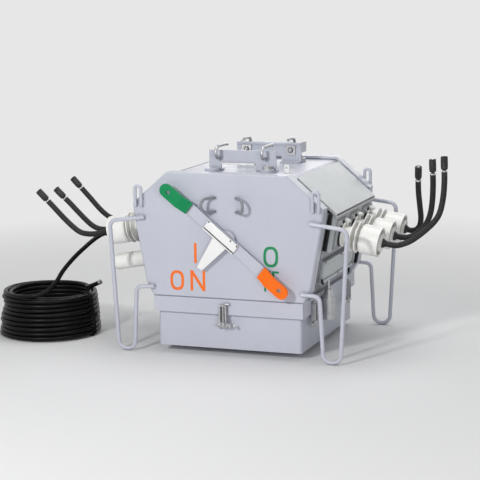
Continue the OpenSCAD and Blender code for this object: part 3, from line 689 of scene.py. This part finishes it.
def coil_point(angle, height, layer):
    """A point of the wound coil: its angle, the height of the cable's middle and its layer."""
    share = (height - CABLE_D / 2) / (COIL_H - CABLE_D)
    foot, top = COIL_R - CABLE_D / 2, COIL_TOP_R - CABLE_D / 2
    uneven = (1.8 * MM * math.sin(2 * angle + height * 90)
              + 1.4 * MM * math.sin(3 * angle - height * 140))
    waist = WAIST_IN * near(height, WAIST_Z, WAIST_H) * (0.5 - 0.5 * math.cos(angle - WAIST_ANGLE))
    bulge = max(0.0, math.cos(angle - LOOSE_ANGLE)) ** 2
    loose = LOOSE_OUT * near(height, LOOSE_Z, LOOSE_H) * bulge
    r = foot + (top - foot) * share - layer * LAYER_STEP + uneven - waist + loose
    return Vector((COIL_X + r * math.cos(angle), TANK_Y + COIL_Y + r * math.sin(angle), height))


def coil_turns():
    """The turns of the coil, clockwise from above: down the outer layer, then up the inner one."""
    low, high = CABLE_D / 2, COIL_H - CABLE_D / 2
    step = TAU / TURN_STEPS
    down = round(LAYER_TURNS * TURN_STEPS)
    points = [coil_point(LANDING_ANGLE - i * step, high + (low - high) * i / down, 0)
              for i in range(down + 1)]
    angle = LANDING_ANGLE - down * step
    cross = TURN_STEPS // 2
    for i in range(1, cross):
        share = i / cross
        points.append(coil_point(angle - i * step, low, share * share * (3 - 2 * share)))
    angle -= cross * step
    total = round(LAYER_TURNS) * TAU + (angle - LEAVING_ANGLE) % TAU
    up = round(total / step)
    points += [coil_point(angle - total * i / up, low + (high - low) * i / up, 1)
               for i in range(up + 1)]
    return points


def add_control_cable():
    """The control cable from its gland through the coil to the ferrule on its free end."""
    low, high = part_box("cable_gland")
    out = Vector((-math.cos(WALL_LEAN), 0, -math.sin(WALL_LEAN)))
    mouth = Vector((low.x + MOUTH_RISE * math.sin(WALL_LEAN), (low.y + high.y) / 2,
                    low.z + MOUTH_RISE * math.cos(WALL_LEAN)))
    turns = coil_turns()
    route = [mouth, mouth + out * CABLE_D] + shifted(CABLE_ROUTE) + turns[:2]
    head = smooth_route(route, CABLE_STEP)
    tail = smooth_route(turns[-2:] + shifted(TAIL_ROUTE), CABLE_STEP)
    points = head + turns[2:-2] + tail
    mesh = mesh_from("cable_run", *tube(points, CABLE_D / 2, 12))
    cable = finish_piece("cable_run", mesh, cable_black, "tank")
    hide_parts("control_cable", "cable_coil")
    r = CABLE_D / 2
    tip = Parts()
    tip.add(lathe([(r + 0.1 * MM, -9 * MM), (r + 0.9 * MM, -8.4 * MM), (r + 0.9 * MM, 1 * MM),
                   (r - 1 * MM, 2 * MM), (r * 0.4, 2.4 * MM)], 24),
            frame_to(points[-1], points[-1] - points[-3]))
    tip_piece = tip.piece("cable_tip", bright_zinc, "zinc")


def add_coil_tie():
    """Two wraps of thin black cord round the turns at one place, with a small knot."""
    radius = 2.5 * MM
    parts = Parts()
    # Radius and height of each bend: up the outside of the coil, down its inside and back under it
    corners = [(COIL_R + 3 * MM, 0.012), (COIL_R + 0.5 * MM, 0.070), (COIL_TOP_R + 10 * MM, 0.118),
               (COIL_TOP_R + 2 * MM, 0.166), (COIL_TOP_R - 16 * MM, 0.176),
               (COIL_TOP_R - 40 * MM, 0.170), (COIL_R - 46 * MM, 0.100),
               (COIL_R - 44 * MM, 0.012), (COIL_R - 34 * MM, 0.003), (COIL_R - 6 * MM, 0.003)]
    for angle in (TIE_ANGLE - 0.02, TIE_ANGLE + 0.02):
        loop = [Vector((COIL_X + r * math.cos(angle), TANK_Y + COIL_Y + r * math.sin(angle), z))
                for r, z in corners]
        around = smooth_route(loop + [loop[0]], 9 * MM)[:-1]
        parts.add(tube(around, radius, 8, closed=True))
    knot_r = COIL_R + 6 * MM
    middle = Vector((COIL_X + knot_r * math.cos(TIE_ANGLE), TANK_Y + COIL_Y - 21 * MM, 0.088))
    knot = [middle + Vector((2 * MM * math.cos(a), 11 * MM * math.sin(a), 8 * MM * math.sin(2 * a)))
            for a in [TAU * k / 24 for k in range(24)]]
    parts.add(tube(knot, radius, 8, closed=True))
    parts.piece("coil_tie", cable_black, "cable_rubber")


add_control_cable()
add_coil_tie()


# ---- Small parts of the bushings and the walls ----

def add_bushing_hardware():
    """Bolts of the clamp plates, and each bushing's seal, bung round its lead and knob on top."""
    bolts, dark_parts, knobs = Parts(), Parts(), Parts()
    bolt_along, bolt_up = 50 * MM, 46 * MM
    bolt = bolt_head(9 * MM)
    seal = lathe([(49.5 * MM, PLATE_OUT), (50.5 * MM, PLATE_OUT + 2 * MM),
                  (48.6 * MM, PLATE_OUT + 4 * MM), (48.3 * MM, FOOT_OUT - 5 * MM)], 48)
    bung = lathe([(19 * MM, BUSHING_OUT - 2 * MM), (18 * MM, BUSHING_OUT + 2 * MM),
                  (14 * MM, BUSHING_OUT + 9 * MM), (11.4 * MM, BUSHING_OUT + 13 * MM)], 32)
    knob = lathe([(6 * MM, -14 * MM), (6 * MM, -2 * MM), (12.5 * MM, -1 * MM), (13.2 * MM, 2 * MM),
                  (12.6 * MM, 6 * MM), (9 * MM, 9.5 * MM), (4 * MM, 11 * MM)], 28)
    for side in (1, -1):
        for number in (-1, 0, 1):
            along = number * PHASE_PITCH
            for j, k in ((-1, -1), (-1, 1), (1, -1), (1, 1)):
                corner = on_wall(side, PLATE_OUT, along + j * bolt_along, k * bolt_up - BUSHING_LOW)
                own_turn = 0.4 * j + 0.7 * k
                bolts.add(bolt, corner @ Matrix.Rotation(own_turn, 4, "Z"))
            axis = on_wall(side, 0, along, -BUSHING_LOW)
            dark_parts.add(seal, axis)
            dark_parts.add(bung, axis)
            top = on_wall(side, FOOT_OUT + 2 * MM, along, 50 * MM - BUSHING_LOW)
            knobs.add(knob, top @ Matrix.Rotation(math.radians(-90), 4, "X"))
    bolts.piece("clamp_bolts", zinc_plate, "zinc")
    dark_parts.piece("bushing_seals", black_rubber_and_shade, "cap_rubber")
    knobs.piece("bushing_knobs", glaze, "porcelain")


def add_panel_parts():
    """Screws round the side panels, and the clip at the front lower corner of the right one."""
    screws = Parts()
    last = 209 * MM
    screw_up = 38 * MM
    for side, first in ((1, -last), (-1, -144 * MM)):
        for along in (first, (first + last) / 2, last):
            for k in (-1, 1):
                place = on_wall(side, PANEL_OUT, along, -PANEL_DROP + k * screw_up)
                screws.add(bolt_head(5 * MM), place)
    screws.piece("panel_screws", zinc_plate, "zinc")
    clip = Parts()
    corner = on_wall(1, PANEL_OUT + 4 * MM, -214 * MM, -PANEL_DROP - screw_up)
    clip.add(rounded_box((26 * MM, 9 * MM, 9 * MM), 2 * MM), corner @ Matrix.Rotation(-0.5, 4, "Z"))
    end = corner @ Matrix.Translation((-11 * MM, 8 * MM, 0))
    clip.add(rounded_box((9 * MM, 16 * MM, 7 * MM), 2 * MM), end)
    clip.piece("panel_clip", black_rubber_and_shade, "cap_rubber")


def add_edge_shade_strips():
    """Dark strips of painted shade down both ends of the bushing blocks and along the lips of the
    hoods.
    """
    strips = Parts()
    low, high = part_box("shoulder_hood_right")
    block_end = (block_high.y - block_low.y) / 2
    end_strip = rounded_box((3 * MM, BLOCK_H - 2 * MM, 16 * MM), 0.8 * MM)
    lip_strip = rounded_box((1.6 * MM, high.y - low.y - 8 * MM, 5 * MM), 0.5 * MM)
    for side in (1, -1):
        for end in (1, -1):
            strips.add(end_strip, on_wall(side, 16 * MM, end * (block_end + 1.2 * MM), 0))
        strips.add(lip_strip, Matrix.Translation((side * high.x, TANK_Y, low.z + 11.3 * MM)))
    strips.piece("edge_shade_strips", black_rubber_and_shade, "cap_rubber")


add_bushing_hardware()
add_panel_parts()
add_edge_shade_strips()


# ---- Hanger ----

# Sizes of the brackets, their slots and the hook bolts. RISE is measured from the covers' top
BRACKET_Y = 155 * MM  # from the tank's middle to the middle of a bracket's plate
BRACKET_RISE = 68 * MM
BRACKET_T = 8 * MM
SLOT_X = -16 * MM
SLOT_W = 140 * MM
SLOT_RISE = 14 * MM
HOOK_X = 93 * MM
HOOK_RISE = 38 * MM  # shanks of the hook bolts
HOOK_BEND = 26 * MM  # how far their bends reach out
HOOK_R = 22.5 * MM


def add_hooks():
    """Hook bolts: a shank through the bracket, a round bend outside it and a rod back over it."""
    hooks = Parts()
    bend_y = BRACKET_Y + BRACKET_T / 2 + 14 * MM
    shank = [(BRACKET_Y - 12 * MM, 0), (BRACKET_Y, 0)]
    bend = [(bend_y + HOOK_BEND * math.sin(a), HOOK_R * (1 - math.cos(a)))
            for a in [math.pi * k / 12 for k in range(13)]]
    for end, tip_y in ((1, 73 * MM), (-1, 118 * MM)):
        back = [(bend_y - 12 * MM, 2 * HOOK_R + 1 * MM), (tip_y + 14 * MM, 2 * HOOK_R + 0.5 * MM),
                (tip_y, 2 * HOOK_R - 2.5 * MM)]
        for side in (1, -1):
            points = [Vector((side * HOOK_X, TANK_Y - end * y, ROOF_Z + HOOK_RISE + z))
                      for y, z in shank + bend + back]
            hooks.add(tube(smooth_route(points, 5 * MM), 6 * MM, 16))
    bent = hooks.piece("hook_bolts", zinc_plate, "zinc")
    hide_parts("hanger_hooks")


def add_bracket_folds():
    """The folded lower edge of each bracket's cut-out, white as a painted highlight, and the strip
    along its inner upper edge.
    """
    folds, strips = Parts(), Parts()
    fold = rounded_box((SLOT_W - 4 * MM, 13 * MM, 6 * MM), 1.2 * MM)
    strip = rounded_box((262 * MM, 3 * MM, 10 * MM), 1 * MM)
    for end in (1, -1):
        outer = TANK_Y - end * (BRACKET_Y + BRACKET_T / 2 + 5 * MM)
        folds.add(fold, Matrix.Translation((SLOT_X, outer, ROOF_Z + SLOT_RISE + 2 * MM)))
        inner = TANK_Y - end * (BRACKET_Y - BRACKET_T / 2 - 1.2 * MM)
        strips.add(strip, Matrix.Translation((0, inner, ROOF_Z + BRACKET_RISE - 5.5 * MM)))
    # Painted highlight: the folds are white to stand for the light catching them
    folds.piece("bracket_folds", white, "white_plate")
    strips.piece("bracket_strips", paint, "paint")


def add_cover_beads():
    """Sealant between the roof and the covers' folded edges, and dark strips of painted shade down
    the walls.
    """
    beads, dark_parts = Parts(), Parts()
    # Corners of the run over the shoulders and the roof, and of the one up a wall, in millimetres
    over = [(370, 573), (236, 688.5), (-236, 688.5), (-370, 573)]
    beside = [(322, 268), (371, 530)]
    for end in (1, -1):
        bead_y = TANK_Y - end * (HALF_DEPTH - COVER_FOLD + 3 * MM)
        route = [Vector((x * MM, bead_y, z * MM)) for x, z in over]
        for a, b in zip(route, route[1:]):
            beads.add(tube([a, b], 4.9 * MM, 12))
        # The strips down the walls are dark to paint the shade behind the covers' folds
        strip_y = TANK_Y - end * (HALF_DEPTH - COVER_FOLD - 3.5 * MM)
        for side in (1, -1):
            run = [Vector((side * (x * MM), strip_y, z * MM)) for x, z in beside]
            dark_parts.add(tube(run, 5.5 * MM, 12))
    beads.piece("cover_beads", paint, "paint")
    dark_parts.piece("cover_shade_strips", black_rubber_and_shade, "cap_rubber")


def add_hanger_fasteners():
    """Nuts and thread ends of the hook bolts inside the brackets, and bolts of the right pads."""
    nuts = Parts()
    thread = lathe([(5.4 * MM, 8 * MM), (5.4 * MM, 14 * MM), (4.4 * MM, 15.5 * MM)], 20)
    for end in (1, -1):
        for side in (1, -1):
            inner = TANK_Y - end * (BRACKET_Y - 4.4 * MM)
            place = frame_to((side * HOOK_X, inner, ROOF_Z + HOOK_RISE), (0, end, 0))
            nuts.add(hexagon_nut(17 * MM, 9 * MM), place)
            nuts.add(thread, place)
        pad = (112 * MM, TANK_Y - end * 195 * MM, ROOF_Z - DECK_DROP + 14 * MM)
        nuts.add(bolt_head(16 * MM), Matrix.Translation(pad))
    nuts.piece("hanger_fasteners", zinc_plate, "zinc")


def add_roof_lug():
    """An upright lug with a hole, welded to the roof at the right of the front bracket."""
    half, rise = 10 * MM, 33 * MM
    outline = [(-half, 0), (half, 0)] + arc(0, rise - half, half, 0, math.pi, 16)
    hole = arc(0, rise - half - 3 * MM, 4.5 * MM, TAU, TAU / 20, 19)
    foot = (183 * MM, TANK_Y - 168 * MM, ROOF_Z - DECK_DROP)
    lug = Parts()
    lug.add(raised([outline, hole], 8 * MM),
            frame_of(Vector((1, 0, 0)), UP, Vector((0, -1, 0)), foot))
    lug.piece("roof_lug", white, "white_plate")


add_hooks()
add_bracket_folds()
add_cover_beads()
add_hanger_fasteners()
add_roof_lug()


# ---- Welds ----

# Foot of the covers' upright edges, and ends of the beads across and up from it, in millimetres
EDGE_Z = ROOF_Z - 170 * MM
LEG_WELDS = [[(330, -3.3), (366, -7.8)], [(295, -268.2), (310, -269)]]
EYE_WELDS = [[(334, 41), (334, 66)], [(370, 41), (370, 54)]]

# The cleats: across, down from the covers' top, and half the distance between their two feet
CLEAT_X = 45 * MM
CLEAT_DROP = 116 * MM
CLEAT_HALF = 26 * MM


def bead(points, radius):
    """A rippled weld bead between two points, thin at both ends."""
    start, finish = points
    steps = max(3, round((finish - start).length / (2.2 * MM)))
    rings = [start.lerp(finish, k / steps) for k in range(steps + 1)]

    def ripple(i):
        return (0.5 if i in (0, steps) else 1) * (1 + 0.14 * math.sin(2.3 * i))

    return tube(rings, radius, 10, ripple)


def cover_points(end, places):
    """Points half a millimetre off a cover, at places across and up."""
    return [on_cover(end, x, z, 0.5 * MM).translation for x, z in places]


def add_welds():
    """Beads along the ends of the legs' and eyes' rods, and rings round the feet of the cleats."""
    welds = Parts()
    for end in (1, -1):
        for side in (1, -1):
            for run in LEG_WELDS:
                for k in (-1, 1):
                    lift = k * (LEG_D / 2 - 1 * MM)
                    places = [(side * x * MM, EDGE_Z + z * MM + lift) for x, z in run]
                    welds.add(bead(cover_points(end, places), 3 * MM))
            for run in EYE_WELDS:
                places = [(side * x * MM, EDGE_Z + z * MM) for x, z in run]
                welds.add(bead(cover_points(end, places), 2.6 * MM))
    for side in (1, -1):
        for k in (-1, 1):
            x, z = side * CLEAT_X, ROOF_Z - CLEAT_DROP + k * CLEAT_HALF
            places = [(x + 10.5 * MM * math.cos(a), z + 7.5 * MM * math.sin(a))
                      for a in [TAU * j / 28 for j in range(28)]]
            ring = cover_points(1, places)
            welds.add(tube(ring, 2.2 * MM, 8, lambda i: 1 + 0.12 * math.sin(2.2 * i), closed=True))
    welds.piece("weld_beads", paint, "paint")


add_welds()


# ---- Marks on the front cover ----

def oval(w, h):
    """Points anticlockwise round a soft-cornered oval about the origin."""
    power, steps = 2.6, 40
    points = []
    for k in range(steps):
        c, s = math.cos(TAU * k / steps), math.sin(TAU * k / steps)
        points.append((w / 2 * math.copysign(abs(c) ** (2 / power), c),
                       h / 2 * math.copysign(abs(s) ** (2 / power), s)))
    return points


def letter(name, w, h, s):
    """Outlines of a plain block O, I, N or F of a width, height and stroke, about its middle."""
    x, y = w / 2, h / 2
    if name == "O":
        return [oval(w, h), oval(w - 2 * s, h - 2 * s)[::-1]]
    if name == "I":
        return [[(-s / 2, -y), (s / 2, -y), (s / 2, y), (-s / 2, y)]]
    if name == "N":
        slant = 1.9 * s
        return [[(-x, -y), (-x + s, -y), (-x + s, y - slant), (x - s, -y), (x, -y), (x, y),
                 (x - s, y), (x - s, -y + slant), (-x + s, y), (-x, y)]]
    bar = x * 0.7
    return [[(-x, -y), (-x + s, -y), (-x + s, -s / 2), (bar, -s / 2), (bar, s / 2), (-x + s, s / 2),
             (-x + s, y - s), (x, y - s), (x, y), (-x, y)]]


# Letter, middle across and up, width, height and stroke of each mark, in millimetres
ORANGE_MARKS = [("I", -125, 393, 20, 76, 10.5), ("O", -201, 285, 56, 76, 10.5),
                ("N", -117, 287, 60, 78, 10.5)]
GREEN_MARKS = [("O", 175, 392, 58, 78, 10.5), ("F", 161, 300, 26, 78, 8),
               ("F", 193, 300, 26, 78, 8)]


def add_marks():
    """I over ON and O over FF in plain block letters on the front cover, under the lever's ends."""
    for name, marks, look, slot in (("marks_on", ORANGE_MARKS, orange_mark, "orange"),
                                    ("marks_off", GREEN_MARKS, green_mark, "green")):
        parts = Parts()
        for text, x, z, w, h, stroke in marks:
            parts.add(raised(letter(text, w * MM, h * MM, stroke * MM), 0.35 * MM),
                      on_cover(1, x * MM, z * MM, 0.05 * MM))
        parts.piece(name, look, slot)


add_marks()


# ---- Trim of the lever and the latches ----

PLATE_ALONG = -20 * MM  # middle of the indicator plate from the pivot, towards the orange grip
LATCH_DROP = 27 * MM  # feet of the latches below the rim
LATCH_BOLT_OUT = 8 * MM  # their bolts off the cover or the rim
SIDE_LATCH_Y = 225 * MM  # the side ones from the tank's middle


def add_indicator():
    """The indicator plate with its rivets and lip, a dark strip of painted shade in the slot
    between them, and the pointer that hangs from it.
    """
    outline = [(-43, 8), (-43, -24), (-22, -153), (-19, -156), (0, -151), (2, -148), (22, -24),
               (22, 8)]
    pointer = Parts()
    pointer.add(raised([[(x * MM, y * MM) for x, y in outline]], 3 * MM),
                on_lever(0, 0, POINTER_OUT - 3 * MM))
    blade = pointer.piece("pointer_blade", white, "white_plate", "lever")
    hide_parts("pointer")
    plate, dark = Parts(), Parts()
    plate.add(rounded_box((149 * MM, 33 * MM, 3 * MM), 0.9 * MM),
              on_lever(PLATE_ALONG, 2 * MM, POINTER_OUT + 1.7 * MM))
    plate.add(rounded_box((150 * MM, 4.6 * MM, 3.4 * MM), 0.9 * MM),
              on_lever(PLATE_ALONG, -21.4 * MM, POINTER_OUT + 1.9 * MM))
    face = plate.piece("indicator_face", white, "white_plate", "lever")
    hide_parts("indicator_plate")
    # Painted shade: a dark strip lies in the slot between the plate and its lip
    dark.add(rounded_box((148 * MM, 5.4 * MM, 1.4 * MM), 0.4 * MM),
             on_lever(PLATE_ALONG, -16.8 * MM, POINTER_OUT + 0.8 * MM))
    dome = lathe([(3.2 * MM, 0), (3 * MM, 0.8 * MM), (2 * MM, 1.5 * MM), (1 * MM, 1.8 * MM)], 18)
    for along in (-90 * MM, 19 * MM, 50 * MM):
        dark.add(dome, on_lever(along, 13.5 * MM, POINTER_OUT + 3.2 * MM))
    dark.piece("indicator_rivets_and_shade", black_rubber_and_shade, "gland", "lever")


def add_latch_parts():
    """Nuts, washers, rounded wing tips and hooked tops of the latches."""
    parts = Parts()
    foot = rim_low.z - LATCH_DROP
    places = [on_cover(end, 0, foot) for end in (1, -1)]
    for side in (1, -1):
        for j in (-1, 1):
            face = Vector((side, 0, 0))
            point = (side * rim_high.x, TANK_Y + j * SIDE_LATCH_Y, foot)
            places.append(frame_of(UP.cross(face), UP, face, point))
    nut = hexagon_nut(13 * MM, 7 * MM)
    washer = lathe([(9.5 * MM, 0.2 * MM), (9.5 * MM, 1.8 * MM)], 24)
    wing = lathe([(3 * MM, -4 * MM), (6.5 * MM, -3 * MM), (7.5 * MM, 0), (6.5 * MM, 3 * MM),
                  (3 * MM, 4 * MM)], 20)
    hook = rounded_box((24 * MM, 7 * MM, 10.5 * MM), 2.4 * MM)
    for place in places:
        bolt = place @ Matrix.Translation((0, 0, LATCH_BOLT_OUT))
        down = bolt @ Matrix.Rotation(math.radians(90), 4, "X")
        parts.add(nut, down @ Matrix.Translation((0, 0, 12.2 * MM)))
        parts.add(washer, down)
        for k in (-1, 1):
            parts.add(wing, place @ Matrix.Translation((k * 31 * MM, -12 * MM, LATCH_BOLT_OUT)))
        parts.add(hook, place @ Matrix.Translation((0, 69 * MM, 5.5 * MM)))
    parts.piece("latch_parts", zinc_plate, "zinc")


add_indicator()
add_latch_parts()


# ---- Floor and light ----

BACKDROP = 0.80
FLOOR_R = 60.0
LAMP_AIM = Vector((0, 0, 0.4))


def add_floor():
    """A wide pale floor that melts into the backdrop far from the switch."""
    disc = lathe([(FLOOR_R, -0.2), (FLOOR_R, 0.0), (0.01, 0.0)], 96)
    floor = bpy.data.objects.new("floor", mesh_from("floor", *disc))
    bpy.context.scene.collection.objects.link(floor)
    look = Look("floor", roughness=0.75, specular=0.15)
    clouds = look.levels(look.noise(0.8, 4.0), 0.3, 0.7)
    look.color(look.mix(clouds, (0.87, 0.87, 0.87), (0.89, 0.89, 0.89)))
    distance = look.tree.nodes.new("ShaderNodeVectorMath")
    distance.operation = "LENGTH"
    look.link(look.place, distance.inputs[0])
    path = look.tree.nodes.new("ShaderNodeLightPath")
    seen = look.math("MAXIMUM", path.outputs["Is Camera Ray"], path.outputs["Is Glossy Ray"])
    far = look.times(seen, look.levels(distance.outputs["Value"], 1.1, 3.4))
    glow = look.tree.nodes.new("ShaderNodeEmission")
    glow.inputs["Color"].default_value = (BACKDROP, BACKDROP, BACKDROP, 1)
    blend = look.tree.nodes.new("ShaderNodeMixShader")
    look.link(far, blend.inputs["Fac"])
    look.link(look.shader.outputs["BSDF"], blend.inputs[1])
    look.link(glow.outputs["Emission"], blend.inputs[2])
    look.link(blend.outputs["Shader"], look.tree.nodes["Material Output"].inputs["Surface"])
    floor.data.materials.append(look.material)


def add_lamp(name, place, size, power):
    """A soft lamp turned to the middle of the switch, which the camera doesn't see."""
    lamp = bpy.data.lights.new(name, "AREA")
    lamp.shape = "RECTANGLE"
    lamp.size, lamp.size_y = size
    lamp.energy = power
    holder = bpy.data.objects.new(name, lamp)
    bpy.context.scene.collection.objects.link(holder)
    holder.matrix_world = frame_to(place, Vector(place) - LAMP_AIM)
    holder.visible_camera = False


def add_world():
    """Even light from all round, seen as a pale backdrop."""
    world = bpy.data.worlds.new("studio")
    bpy.context.scene.world = world
    world.use_nodes = True
    tree = world.node_tree
    light = tree.nodes["Background"]
    light.inputs["Color"].default_value = (0.95, 0.97, 1.0, 1)
    light.inputs["Strength"].default_value = 0.2
    seen = tree.nodes.new("ShaderNodeBackground")
    seen.inputs["Color"].default_value = (BACKDROP, BACKDROP, BACKDROP, 1)
    path = tree.nodes.new("ShaderNodeLightPath")
    looking = path.outputs["Is Camera Ray"]
    for ray in ("Is Glossy Ray", "Is Transmission Ray"):
        either = tree.nodes.new("ShaderNodeMath")
        either.operation = "MAXIMUM"
        tree.links.new(looking, either.inputs[0])
        tree.links.new(path.outputs[ray], either.inputs[1])
        looking = either.outputs[0]
    blend = tree.nodes.new("ShaderNodeMixShader")
    tree.links.new(looking, blend.inputs["Fac"])
    tree.links.new(light.outputs[0], blend.inputs[1])
    tree.links.new(seen.outputs[0], blend.inputs[2])
    tree.links.new(blend.outputs[0], tree.nodes["World Output"].inputs["Surface"])


add_floor()
add_world()
add_lamp("key", (-0.95, -3.9, 2.05), (0.42, 0.42), 74)
add_lamp("fill", (2.7, -3.9, 1.1), (1.2, 1.2), 34)
add_lamp("top", (0.2, 0.4, 3.6), (2.6, 2.6), 56)
add_lamp("back", (-0.45, 4.2, 1.9), (2.8, 1.2), 20)
bpy.context.scene.view_settings.view_transform = "Standard"
